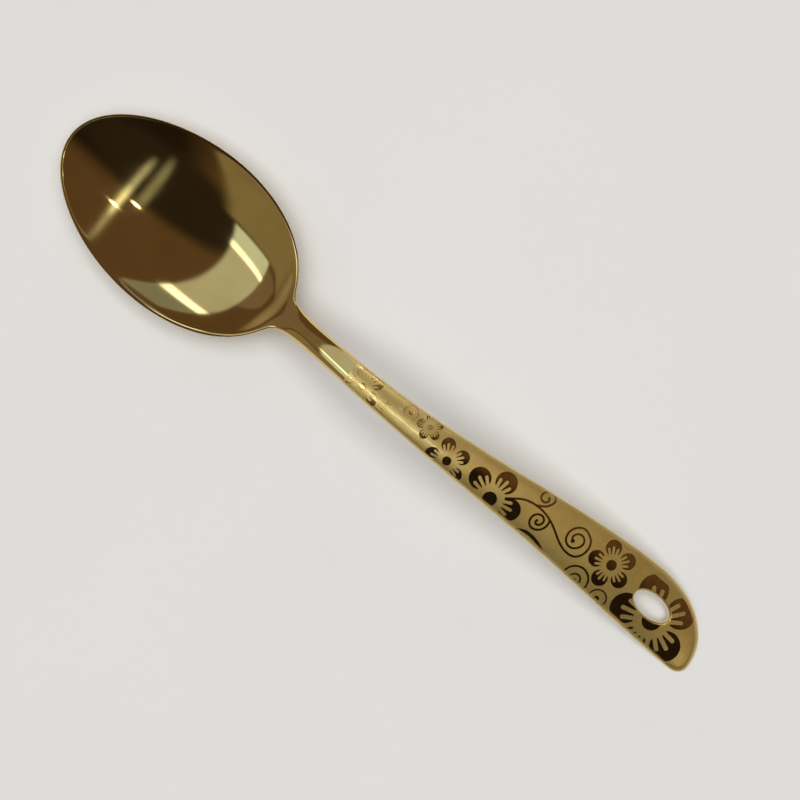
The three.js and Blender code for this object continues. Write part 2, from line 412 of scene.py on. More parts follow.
    @cached_property
    def eye_half(self) -> Place:
        """Half the hanging eye's size in plan, along and across the spoon."""
        lean = math.cos(math.atan(float(slope_of(self.edge, np.array(self.eye_place[0])))))
        return self.eye_length / 2.0 * lean, self.eye_width / 2.0

    def inset(self, s: Array, y: Array) -> Array:
        """Gives how far inside the outline each place lies.

        Args:
            s: places along the spoon.
            y: places across it.

        Returns:
            The distances, below 0 outside.
        """
        upper, lower = self.upper(s), self.lower(s)
        level = (upper - y) * (y - lower)
        along = slope_of(self.upper, s) * (y - lower) - slope_of(self.lower, s) * (upper - y)
        return level / np.sqrt(along**2 + (upper + lower - 2.0 * y) ** 2 + SMALL)

    def eye_gap(self, s: Array, y: Array) -> Array:
        """Gives how far outside the hanging eye each place lies.

        Args:
            s: places along the spoon.
            y: places across it.

        Returns:
            The distances, below 0 inside the eye.
        """
        long, wide = self.eye_half
        u, v = s - self.eye_place[0], y - self.eye_place[1]
        reach = np.sqrt((u / long) ** 2 + (v / wide) ** 2)
        return (reach - 1.0) * reach / np.sqrt((u / long**2) ** 2 + (v / wide**2) ** 2 + TINY)

    @staticmethod
    def bullnose(inset: Array, width: Array) -> Array:
        """Gives the height share of an edge that is rounded over a width."""
        return np.sqrt(1.0 - (1.0 - np.clip(inset / width, 0.0, 1.0)) ** 2)

    def skins(self, s: Array, y: Array) -> tuple[Array, Array]:
        """Gives the heights of the upper and the lower skin.

        Args:
            s: places along the spoon.
            y: places across it, inside the outline.

        Returns:
            Height of the upper skin and height of the lower one.
        """
        half = (self.upper(s) - self.lower(s)) / 2.0
        centre = (self.upper(s) + self.lower(s)) / 2.0
        bulge = np.clip(1.0 - ((y - centre) / np.maximum(half, SMALL)) ** 2, 0.0, 1.0)
        bar = self.bar(s)
        end_open = self.closing(s, self.end_sweep, self.end_sweep_power)
        crown = mix(self.neck_crown, self.handle_crown, self.taper(s)) * bar * end_open
        left = self.overall_length - self.back_flat_reach - s
        rise = self.back_rise * ease(left / (self.end_join_inset - self.back_flat_reach))
        belly = mix(self.neck_belly, -rise, self.taper(s)) * bar
        top = mix(self.rim_height, self.edge_half(s), bar) + crown * bulge - self.hollow(s, y)
        back = self.edge_half(s) * bar + belly * bulge + self.swell(s, y)
        nose = self.bullnose(self.inset(s, y), self.nose_width(s))
        nose = nose * self.bullnose(self.eye_gap(s, y), np.array(self.eye_round))
        edge = self.edge(s)
        return edge + nose * top, np.maximum(edge - nose * back, 0.0)

    def point(self, s: Array, y: Array, z: Array) -> Array:
        """Gives points in the spoon's frame, in millimetres."""
        return np.stack([s - self.overall_length / 2.0, y, z], axis=-1)


def placed(name: str, data: bpy.types.ID, place: Spot = (0.0, 0.0, 0.0)) -> bpy.types.Object:
    """Makes an object and links it to the scene.

    Args:
        name: the object's name.
        data: its mesh, light or camera.
        place: where it stands.

    Returns:
        The new object.
    """
    made = bpy.data.objects.new(name, data)
    made.location = place
    bpy.context.scene.collection.objects.link(made)
    return made


@dataclass
class Shell:
    """A closed mesh in the making."""

    points: Array
    faces: list[Face]
    normals: Array
    caps: list[Face] = field(default_factory=list)
    satin: Array | None = None

    @staticmethod
    def smooth(points: Array, faces: list[Face]) -> Array:
        """Gives a smooth normal for each point.

        Args:
            points: the points.
            faces: the faces that take part.

        Returns:
            One unit normal for each point.
        """
        fans = np.array([(f[0], f[i], f[i + 1]) for f in faces for i in range(1, len(f) - 1)])
        a, b, c = (points[fans[:, i]] for i in range(3))
        across = np.cross(b - a, c - a)
        normals = np.zeros_like(points)
        for i in range(3):
            np.add.at(normals, fans[:, i], across)
        length = np.linalg.norm(normals, axis=1, keepdims=True)
        return normals / np.maximum(length, TINY)

    def part(self, faces: list[Face], caps: list[Face]) -> "Shell":
        """Gives a shell of some of the faces, with flat caps added.

        Args:
            faces: the faces to keep.
            caps: flat faces that close the cut ends.

        Returns:
            The new shell, with only the points it uses.
        """
        used = np.unique([i for f in faces + caps for i in f])
        place = {int(old): new for new, old in enumerate(used)}

        def moved(group: list[Face]) -> list[Face]:
            """Gives faces in the new numbering."""
            return [tuple(place[i] for i in f) for f in group]

        satin = None if self.satin is None else self.satin[used]
        return Shell(self.points[used], moved(faces), self.normals[used], moved(caps), satin)

    def mesh(self, name: str) -> bpy.types.Object:
        """Makes the Blender object.

        Args:
            name: the piece's name.

        Returns:
            The new object, linked to the scene.
        """
        data = bpy.data.meshes.new(name)
        data.from_pydata((self.points * MM).tolist(), [], self.faces + self.caps)
        data.polygons.foreach_set("use_smooth", [True] * len(data.polygons))
        smooth = [self.normals[list(f)] for f in self.faces]
        flat = [np.tile(self.flat_normal(f), (len(f), 1)) for f in self.caps]
        data.normals_split_custom_set(np.concatenate(smooth + flat).tolist())
        if self.satin is not None:
            mask = data.attributes.new(SATIN_MASK, "FLOAT", "POINT")
            mask.data.foreach_set("value", self.satin.astype(np.float32))
        data.update()
        return placed(name, data)

    def flat_normal(self, face: Face) -> Array:
        """Gives the normal of one flat face.

        Args:
            face: numbers of its corners.

        Returns:
            The unit normal.
        """
        corners = self.points[list(face)]
        normal = np.cross(corners, np.roll(corners, -1, axis=0)).sum(axis=0)
        return normal / max(float(np.linalg.norm(normal)), TINY)


def face_of(*corners: int) -> Face:
    """Gives a face without repeated corners."""
    return tuple(dict.fromkeys(corners))


def real_faces(faces: list[Face]) -> list[Face]:
    """Gives the faces that have an area."""
    return [f for f in faces if len(f) > 2]


class Value:
    """A socket's value, with the arithmetic that adds Math nodes."""

    def __init__(self, sheet: "Sheet", socket: bpy.types.NodeSocket) -> None:
        """Wraps one output socket of a node sheet."""
        self.sheet = sheet
        self.socket = socket

    def math(self, operation: str, first: Any, second: Any) -> "Value":
        """Adds a Math node."""
        return self.sheet.node("ShaderNodeMath", {"operation": operation}, {0: first, 1: second})

    def __add__(self, other: Any) -> "Value":
        """Adds."""
        return self.math("ADD", self, other)

    def __radd__(self, other: Any) -> "Value":
        """Adds, with the value on the right."""
        return self.math("ADD", other, self)

    def __sub__(self, other: Any) -> "Value":
        """Subtracts."""
        return self.math("SUBTRACT", self, other)

    def __rsub__(self, other: Any) -> "Value":
        """Subtracts, with the value on the right."""
        return self.math("SUBTRACT", other, self)

    def __mul__(self, other: Any) -> "Value":
        """Multiplies."""
        return self.math("MULTIPLY", self, other)

    def __rmul__(self, other: Any) -> "Value":
        """Multiplies, with the value on the right."""
        return self.math("MULTIPLY", other, self)

    def __truediv__(self, other: Any) -> "Value":
        """Divides."""
        return self.math("DIVIDE", self, other)

    def __rtruediv__(self, other: Any) -> "Value":
        """Divides, with the value on the right."""
        return self.math("DIVIDE", other, self)

    def __neg__(self) -> "Value":
        """Turns the sign round."""
        return self.math("MULTIPLY", self, -1.0)


class Sheet:
    """A node tree that is filled from Python expressions."""

    def __init__(self, tree: bpy.types.NodeTree) -> None:
        """Starts with an empty tree."""
        self.tree = tree
        tree.nodes.clear()

    def node(
        self, kind: str, settings: dict[str, Any], inputs: dict[Any, Any], output: Any = 0
    ) -> Value:
        """Adds one node.

        Args:
            kind: Blender's name of the node's type.
            settings: properties of the node, set first.
            inputs: values or links of its sockets, by name or number.
            output: the output socket to give back, by name or number.

        Returns:
            The wrapped output, or the node's own wrapper if it has none.
        """
        made = self.tree.nodes.new(kind)
        for key, setting in settings.items():
            setattr(made, key, setting)
        for key, given in inputs.items():
            socket = made.inputs[key]
            if isinstance(given, Value):
                self.tree.links.new(given.socket, socket)
            else:
                socket.default_value = given
        return Value(self, made.outputs[output]) if made.outputs else Value(self, None)

    def place(self) -> Value:
        """Gives the place in the spoon's frame, in metres."""
        return self.node("ShaderNodeTexCoord", {}, {}, "Object")

    def satin(self) -> Value:
        """Gives the mask that a mesh holds, 1 where its surface is satin."""
        return self.node("ShaderNodeAttribute", {"attribute_name": SATIN_MASK}, {}, "Fac")

    def stretched(self, place: Value, scale: Spot) -> Value:
        """Gives a place multiplied axis by axis."""
        return self.node("ShaderNodeVectorMath", {"operation": "MULTIPLY"}, {0: place, 1: scale})

    def noise(self, place: Value, scale: float, detail: float, rough: float = 0.5) -> Value:
        """Gives a soft noise from 0 to 1."""
        inputs = {"Vector": place, "Scale": scale, "Detail": detail, "Roughness": rough}
        return self.node("ShaderNodeTexNoise", {}, inputs)

    def step(self, value: Value, low: float, high: float) -> Value:
        """Gives a smooth step from 0 to 1.

        Args:
            value: what the step depends on.
            low: the value up to which it gives 0.
            high: the value from which it gives 1.

        Returns:
            The step.
        """
        settings = {"interpolation_type": "SMOOTHSTEP"}
        inputs = {"Value": value, "From Min": low, "From Max": high, "To Min": 0.0, "To Max": 1.0}
        return self.node("ShaderNodeMapRange", settings, inputs, "Result")

    def blend(self, share: Any, first: Any, second: Any) -> Value:
        """Mixes two colours.

        Args:
            share: how much of the second colour shows.
            first: the first colour.
            second: the second colour.

        Returns:
            The mixed colour.
        """
        settings = {"data_type": "RGBA"}
        first, second = ((*c, 1.0) if isinstance(c, tuple) else c for c in (first, second))
        return self.node("ShaderNodeMix", settings, {0: share, 6: first, 7: second}, 2)

    def bump(self, height: Value, depth: float) -> Value:
        """Gives a normal from a height, with the depth in metres."""
        return self.node("ShaderNodeBump", {}, {"Height": height, "Distance": depth, "Strength": 1.0})


class Finish:
    """What the finishes share: a colour between a light and a deep tone, and a Principled surface."""

    name: str
    light: Colour
    deep: Colour
    tint_limits: Place = (0.3, 0.7)

    def tint(self, sheet: Sheet, shade: Value) -> Value:
        """Gives the colour, light where the shade is low and deep where it is high."""
        return sheet.blend(sheet.step(shade, *self.tint_limits), self.light, self.deep)

    def sockets(self, sheet: Sheet) -> dict[str, Any]:
        """Gives what the surface's sockets hold; each finish has its own."""
        raise NotImplementedError

    def material(self) -> bpy.types.Material:
        """Makes the material.

        Returns:
            The new material.
        """
        made = bpy.data.materials.new(self.name)
        made.use_nodes = True
        sheet = Sheet(made.node_tree)
        surface = sheet.node("ShaderNodeBsdfPrincipled", {}, self.sockets(sheet))
        sheet.node("ShaderNodeOutputMaterial", {}, {"Surface": surface})
        return made


@dataclass(frozen=True)
class PolishedGold(Finish):
    """Gold-coloured mirror finish with fine polishing lines along the spoon."""

    name: str = "polished_gold"
    light: Colour = (0.78, 0.585, 0.23)
    deep: Colour = (0.72, 0.52, 0.19)
    roughness: float = 0.06
    haze: float = 0.07
    haze_limits: Place = (0.35, 0.8)
    cloud_scale: float = 90.0
    cloud_detail: float = 4.0
    line_scale: Spot = (70.0, 3200.0, 3200.0)
    line_detail: float = 3.0
    line_unevenness: float = 0.6
    line_depth: float = 1.6e-6

    def sockets(self, sheet: Sheet) -> dict[str, Any]:
        """Gives what the surface's sockets hold.

        Args:
            sheet: the material's nodes.

        Returns:
            Values by the names of the sockets.
        """
        place = sheet.place()
        drawn = sheet.stretched(place, self.line_scale)
        lines = sheet.noise(drawn, 1.0, self.line_detail, self.line_unevenness)
        cloud = sheet.noise(place, self.cloud_scale, self.cloud_detail)
        return {
            "Base Color": self.tint(sheet, cloud),
            "Metallic": 1.0,
            "Roughness": self.roughness + self.haze * sheet.step(cloud, *self.haze_limits) * lines,
            "Normal": sheet.bump(lines, self.line_depth),
        }


@dataclass(frozen=True)
class HandleGold(Finish):
    """Fine blasted gold under clear lacquer on the handle's face, running into a polished back."""

    name: str = "satin_gold"
    light: Colour = (0.80, 0.62, 0.23)
    deep: Colour = (0.66, 0.485, 0.155)
    satin_roughness: float = 0.45
    polished_roughness: float = 0.1
    unevenness: float = 0.12
    lacquer: float = 0.8
    lacquer_roughness: float = 0.07
    cloud_scale: float = 140.0
    cloud_detail: float = 4.0
    cloud_share: float = 0.6
    grain_scale: float = 2000.0
    grain_detail: float = 2.0
    grain_depth: float = 3.0e-5

    def sockets(self, sheet: Sheet) -> dict[str, Any]:
        """Gives what the surface's sockets hold.

        Args:
            sheet: the material's nodes.

        Returns:
            Values by the names of the sockets.
        """
        place, satin = sheet.place(), sheet.satin()
        cloud = sheet.noise(place, self.cloud_scale, self.cloud_detail)
        grain = sheet.noise(place, self.grain_scale, self.grain_detail)
        shade = self.cloud_share * cloud + (1.0 - self.cloud_share) * grain
        blasted = self.satin_roughness - self.polished_roughness + self.unevenness * (cloud - 0.5)
        return {
            "Base Color": self.tint(sheet, shade),
            "Metallic": 1.0,
            "Roughness": self.polished_roughness + blasted * satin,
            "Normal": sheet.bump(grain * satin, self.grain_depth),
            "Coat Weight": self.lacquer,
            "Coat Roughness": self.lacquer_roughness,
        }


@dataclass(frozen=True)
class OrnamentGold(Finish):
    """Bright gold of the ornament, smooth on the blasted face and worn dull towards the neck."""

    name: str = "ornament_gold"
    light: Colour = (0.74, 0.50, 0.19)
    deep: Colour = (0.62, 0.39, 0.13)
    roughness: float = 0.12
    haze: float = 0.06
    edge_haze: float = 0.34
    worn_haze: float = 0.08
    worn_reach: Place = (0.004, 0.024)
    cloud_scale: float = 700.0
    cloud_detail: float = 4.0
    grain_scale: float = 5000.0
    grain_detail: float = 2.0
    grain_depth: float = 3.0e-6

    def sockets(self, sheet: Sheet) -> dict[str, Any]:
        """Gives what the surface's sockets hold.

        Args:
            sheet: the material's nodes.

        Returns:
            Values by the names of the sockets.
        """
        place, satin = sheet.place(), sheet.satin()
        cloud = sheet.noise(place, self.cloud_scale, self.cloud_detail)
        grain = sheet.noise(place, self.grain_scale, self.grain_detail)
        along = sheet.node("ShaderNodeSeparateXYZ", {}, {0: place})
        worn = 1.0 - sheet.step(along, *self.worn_reach)
        bright = self.roughness + self.haze * cloud
        return {
            "Base Color": self.tint(sheet, cloud),
            "Metallic": 1.0,
            "Roughness": bright + self.edge_haze * satin + self.worn_haze * worn,
            "Normal": sheet.bump(grain, self.grain_depth),
        }


@dataclass(frozen=True)
class FloorPaint(Finish):
    """Plain pale paint of the floor."""

    name: str = "floor_paint"
    light: Colour = (0.80, 0.79, 0.77)
    deep: Colour = (0.77, 0.76, 0.74)
    roughness: float = 0.85
    shine: float = 0.2
    cloud_scale: float = 12.0
    cloud_detail: float = 3.0

    def sockets(self, sheet: Sheet) -> dict[str, Any]:
        """Gives what the surface's sockets hold.

        Args:
            sheet: the material's nodes.

        Returns:
            Values by the names of the sockets.
        """
        cloud = sheet.noise(sheet.place(), self.cloud_scale, self.cloud_detail)
        return {
            "Base Color": sheet.blend(cloud, self.light, self.deep),
            "Roughness": self.roughness,
            "Specular IOR Level": self.shine,
        }


@dataclass
class SpoonBody:
    """The stamped spoon from the bowl's tip to the handle's end, in four sections."""

    form: SpoonForm
    columns: int = 104
    tip_rows: int = 56
    throat_rows: int = 60
    lip_rows: int = 10
    neck_rows: int = 30
    stem_rows: int = 100
    outline_rows: int = 70
    middle_rings: int = 16
    edge_rings: int = 8
    edge_zone: float = 1.9
    satin_edge: Place = (0.02, 0.3)
    satin_eye: Place = (0.35, 0.65)

    def across(self) -> Array:
        """Gives places across the spoon from -1 to 1, closer together at both edges."""
        return -np.cos(np.linspace(0.0, math.pi, self.columns + 1))

    def spread(self, s: Array) -> Array:
        """Gives a place across the spoon for each column, at places along it."""
        upper, lower = self.form.upper(s), self.form.lower(s)
        return (upper + lower) / 2.0 + (upper - lower) / 2.0 * self.across()

    def stations(self) -> tuple[Array, dict[str, tuple[int, int]]]:
        """Gives the places of the rows along the spoon.

        Returns:
            The places, and the first and last row of each section.
        """
        form = self.form
        tip = form.middle * (1.0 - np.cos(np.linspace(0.0, math.pi / 2.0, self.tip_rows + 1)))
        throat = np.sin(np.linspace(0.0, math.pi / 2.0, self.throat_rows + 1))
        groups = [
            tip,
            mix(form.middle, form.bowl_length, throat)[1:],
            np.linspace(form.bowl_length, form.bowl_join, self.lip_rows + 1)[1:],
            np.linspace(form.bowl_join, form.satin_start, self.neck_rows + 1)[1:],
            np.linspace(form.satin_start, form.end_join, self.stem_rows + 1)[1:],
        ]
        bowl_end = self.tip_rows + self.throat_rows + self.lip_rows
        neck_end = bowl_end + self.neck_rows
        rows = {
            "bowl": (0, bowl_end),
            "neck": (bowl_end, neck_end),
            "stem": (neck_end, neck_end + self.stem_rows),
        }
        return np.concatenate(groups), rows

    def satin_mask(self, s: Array, y: Array) -> Array:
        """Gives 1 on the blasted face of the handle and 0 at its polished edges."""
        face = ramp(self.form.inset(s, y), self.satin_edge)
        return face * ramp(self.form.eye_gap(s, y), self.satin_eye)

    def rings(self) -> tuple[Shell, dict[str, tuple[int, int]]]:
        """Makes the skin from the bowl's tip to the handle's end as rings of points.

        Returns:
            The open-ended shell, and the first and last ring of each section.
        """
        form = self.form
        places, rows = self.stations()
        s = places[1:, None] * np.ones(self.columns + 1)
        y = self.spread(s)
        top, back = form.skins(s, y)
        top[:, [0, -1]] = back[:, [0, -1]] = form.edge(s[:, [0, -1]])
        ring_top = form.point(s, y, top)
        ring_back = form.point(s, y, back)[:, -2:0:-1]
        tip = form.point(np.array([0.0]), np.array([0.0]), form.edge(np.array([0.0])))
        points = np.concatenate([tip, np.concatenate([ring_top, ring_back], axis=1).reshape(-1, 3)])
        mask = np.concatenate([self.satin_mask(s, y), np.zeros((len(s), self.columns - 1))], axis=1)
        satin = np.append(0.0, mask.reshape(-1))
        faces = [f for r in range(len(places) - 1) for f in self.band(r)]
        return Shell(points, faces, Shell.smooth(points, faces), satin=satin), rows

    def spot(self, row: int, column: int) -> int:
        """Gives the number of a ring's point; all points of row 0 are the tip."""
        count = 2 * self.columns
        return 0 if row == 0 else 1 + (row - 1) * count + column % count

    def band(self, row: int) -> list[Face]:
        """Gives the faces between one row and the next.

        Args:
            row: the first of the two rows.

        Returns:
            The faces.
        """
        faces = []
        for i in range(2 * self.columns):
            corners = (row, i), (row + 1, i), (row + 1, i + 1), (row, i + 1)
            faces.append(face_of(*(self.spot(r, c) for r, c in corners)))
        return real_faces(faces)

    def cap(self, row: int, forward: bool) -> list[Face]:
        """Gives the flat faces that close a section at one row.

        Args:
            row: the row.
            forward: True if the cap faces the handle's end.

        Returns:
            The faces, or none at the tip.
        """
        faces = []
        for i in range(self.columns):
            back = self.spot(row, -i), self.spot(row, -i - 1)
            corners = back[0], self.spot(row, i), self.spot(row, i + 1), back[1]
            faces.append(face_of(*(reversed(corners) if forward else corners)))
        return real_faces(faces)

    def sections(self) -> dict[str, Shell]:
        """Cuts the ringed skin into closed sections.

        Returns:
            A closed shell for the bowl, the neck and the stem.
        """
        shell, rows = self.rings()
        made = {}
        for name, (first, last) in rows.items():
            faces = [f for r in range(first, last) for f in self.band(r)]
            made[name] = shell.part(faces, self.cap(first, False) + self.cap(last, True))
        return made

    def boundary(self) -> tuple[Array, Array]:
        """Gives the outline of the handle's end, from the join's straight side round and back.

        Returns:
            Places along and across the spoon; the first columns + 1 of them lie on the join.
        """
        form = self.form
        join = np.full(self.columns + 1, form.end_join)
        turn = np.sin(np.linspace(0.0, math.pi / 2.0, self.outline_rows + 1))
        s = mix(form.end_join, form.overall_length, turn)
        there, home = s[1:], s[-2:0:-1]
        along = np.concatenate([join, there, home])
        return along, np.concatenate([self.spread(join), form.upper(there), form.lower(home)])

    def handle_end(self) -> Shell:
        """Makes the handle's end as rings of points between the hanging eye and the outline.

        Returns:
            The closed shell.
        """
        form = self.form
        s_out, y_out = self.boundary()
        s_eye, y_eye = self.eye_ring(s_out, y_out)
        reach = np.hypot(s_out - s_eye, y_out - y_eye)
        curl = 1.0 - np.cos(np.linspace(0.0, math.pi / 2.0, self.edge_rings + 1))
        zone = self.edge_zone / reach[:, None] * curl
        middle = np.linspace(0.0, 1.0, self.middle_rings + 1)[1:-1]
        between = mix(zone[:, -1:], 1.0 - zone[:, -1:], middle)
        way = np.concatenate([zone, between, 1.0 - zone[:, ::-1]], axis=1).T
        s = mix(s_eye, s_out, way)
        y = mix(y_eye, y_out, way)
        top, back = form.skins(s, y)
        top[0] = back[0] = form.edge(s[0])
        rim = np.arange(len(s_out)) >= self.columns
        rim[0] = True
        top[-1, rim] = back[-1, rim] = form.edge(s[-1, rim])
        return self.closed_end(s, y, top, back, rim)

    def eye_ring(self, s_out: Array, y_out: Array) -> tuple[Array, Array]:
        """Gives the point of the eye's rim that faces each point of the outline.

        Args:
            s_out: places of the outline's points along the spoon.
            y_out: their places across it.

        Returns:
            Places of the eye's points along and across the spoon.
        """
        (eye_s, eye_y), (long, wide) = self.form.eye_place, self.form.eye_half
        turn = np.arctan2((y_out - eye_y) / wide, (s_out - eye_s) / long)
        return eye_s + long * np.cos(turn), eye_y + wide * np.sin(turn)

    def closed_end(self, s: Array, y: Array, top: Array, back: Array, rim: Array) -> Shell:
        """Closes the two skins of the handle's end at its outline, its join and its eye.

        Args:
            s: places along the spoon, ring by ring.
            y: places across it.
            top: heights of the upper skin.
            back: heights of the lower skin.
            rim: True where the outermost point lies on the outline and both skins meet.

        Returns:
            The closed shell.
        """
        rings, count = s.shape
        above = np.arange(rings * count).reshape(rings, count)
        below = above + rings * count
        below[0] = above[0]
        below[-1] = np.where(rim, above[-1], below[-1])
        points = np.concatenate([
            self.form.point(s, y, top).reshape(-1, 3),
            self.form.point(s, y, back).reshape(-1, 3),
        ])
        faces = []
        for t in range(rings - 1):
            for k in range(count):
                n = (k + 1) % count
                faces.append(face_of(above[t, k], above[t, n], above[t + 1, n], above[t + 1, k]))
                faces.append(face_of(below[t, k], below[t + 1, k], below[t + 1, n], below[t, n]))
        caps = [
            face_of(below[-1, k], above[-1, k], above[-1, k + 1], below[-1, k + 1])
            for k in range(self.columns)
        ]
        faces, caps = real_faces(faces), real_faces(caps)
        mask = np.concatenate([self.satin_mask(s, y).reshape(-1), np.zeros(rings * count)])
        whole = Shell(points, faces, Shell.smooth(points, faces), satin=mask)
        return whole.part(faces, caps)

    def build(self) -> list[bpy.types.Object]:
        """Builds and dresses the four sections.

        Returns:
            The pieces, from the bowl to the handle's end.
        """
        polished = PolishedGold().material()
        handle = HandleGold().material()
        shells = {**self.sections(), "handle_end": self.handle_end()}
        finishes = {
            "bowl": (Gold.POLISHED, polished),
            "neck": (Gold.POLISHED, polished),
            "stem": (Gold.SATIN, handle),
            "handle_end": (Gold.SATIN, handle),
        }
        pieces = []
        for node, shell in shells.items():
            gold, material = finishes[node]
            piece = shell.mesh(f"spoon_{node}")
            piece.data.materials.append(material)
            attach(piece, "root")
            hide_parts(node)
            pieces.append(piece)
        return pieces


def disc(place: Place, radius: float) -> Field:
    """Gives the distance field of a round spot, below 0 inside."""
    return lambda s, y: np.hypot(s - place[0], y - place[1]) - radius


def ring(place: Place, radius: float, width: float) -> Field:
    """Gives the distance field of a ring."""
    return lambda s, y: np.abs(np.hypot(s - place[0], y - place[1]) - radius) - width / 2.0


def bar(start: Place, end: Place, width: float) -> Field:
    """Gives the distance field of a straight bar with round ends.

    Args:
        start: the middle of one end.
        end: the middle of the other.
        width: the bar's width.

    Returns:
        The field.
    """
    run = end[0] - start[0], end[1] - start[1]
    square = run[0] ** 2 + run[1] ** 2

    def field_of(s: Array, y: Array) -> Array:
        """Gives the distance at each place."""
        t = np.clip(((s - start[0]) * run[0] + (y - start[1]) * run[1]) / square, 0.0, 1.0)
        return np.hypot(s - start[0] - t * run[0], y - start[1] - t * run[1]) - width / 2.0

    return field_of


def joined(*fields: Field) -> Field:
    """Gives the field of several shapes together."""
    return lambda s, y: np.min([f(s, y) for f in fields], axis=0)


def without(shape: Field, *cuts: Field) -> Field:
    """Gives the field of a shape with others cut out of it."""
    return lambda s, y: np.max([shape(s, y), *(-c(s, y) for c in cuts)], axis=0)


@dataclass(frozen=True)
class Rosette:
    """A flower of five round petals, with light fingers let into each petal and a round heart."""

    place: Place
    turn: float
    scale: float = 1.0
    petal_turns: tuple[float, ...] = (0.0, 72.0, 144.0, 216.0, 288.0)
    reach: float = 4.95
    lobe: float = 2.5
    heart: float = 1.65
    clear: float = 2.95
    finger_reach: Place = (5.15, 4.75)
    finger_width: float = 0.6
    finger_spread: float = 17.0

    def spot(self, angle: float, reach: float) -> Place:
        """Gives a place beside the flower's middle.

        Args:
            angle: the direction, in degrees.
            reach: the distance, before the flower's scale.

        Returns:
            The place.
        """
        turn = math.radians(angle)
        reach = reach * self.scale
        return self.place[0] + reach * math.cos(turn), self.place[1] + reach * math.sin(turn)

    def field(self) -> Field:
        """Gives the flower's distance field.

        Returns:
            The field.
        """
        angles = [self.turn + turn for turn in self.petal_turns]
        lobes = [disc(self.spot(a, self.reach), self.lobe * self.scale) for a in angles]
        middle, outer = self.finger_reach
        tips = (-self.finger_spread, outer), (0.0, middle), (self.finger_spread, outer)
        ends = [self.spot(angle + turn, reach) for angle in angles for turn, reach in tips]
        fingers = [bar(self.place, end, self.finger_width * self.scale) for end in ends]
        petals = without(joined(*lobes), *fingers, disc(self.place, self.clear * self.scale))
        return joined(petals, disc(self.place, self.heart * self.scale))


@dataclass(frozen=True)
class Scroll:
    """A drawn line that runs through points, with a dot at its end."""

    points: tuple[Place, ...]
    width: float = 0.78
    dot: float = 0.0
    taper: float = 0.0
    samples: int = 360

    def field(self) -> Field:
        """Gives the line's distance field.

        Returns:
            The field.
        """
        points = np.array(self.points)
        run = np.concatenate([[0.0], np.cumsum(np.hypot(*np.diff(points, axis=0).T))])
        at = np.linspace(0.0, run[-1], self.samples)
        line = np.stack([Curve(list(zip(run, points[:, i])))(at) for i in range(2)], axis=1)
        middle = np.abs(2.0 * at / run[-1] - 1.0)
        half = self.width / 2.0 * (1.0 - self.taper * middle**2)

        def field_of(s: Array, y: Array) -> Array:
            """Gives the distance at each place.

            Args:
                s: places along the spoon.
                y: places across it.

            Returns:
                The distances.
            """
            best = np.full(s.shape, np.inf)
            for (a, b), h in zip(line, half):
                best = np.minimum(best, np.hypot(s - a, y - b) - h)
            return best

        return joined(field_of, disc(self.points[-1], self.dot)) if self.dot else field_of


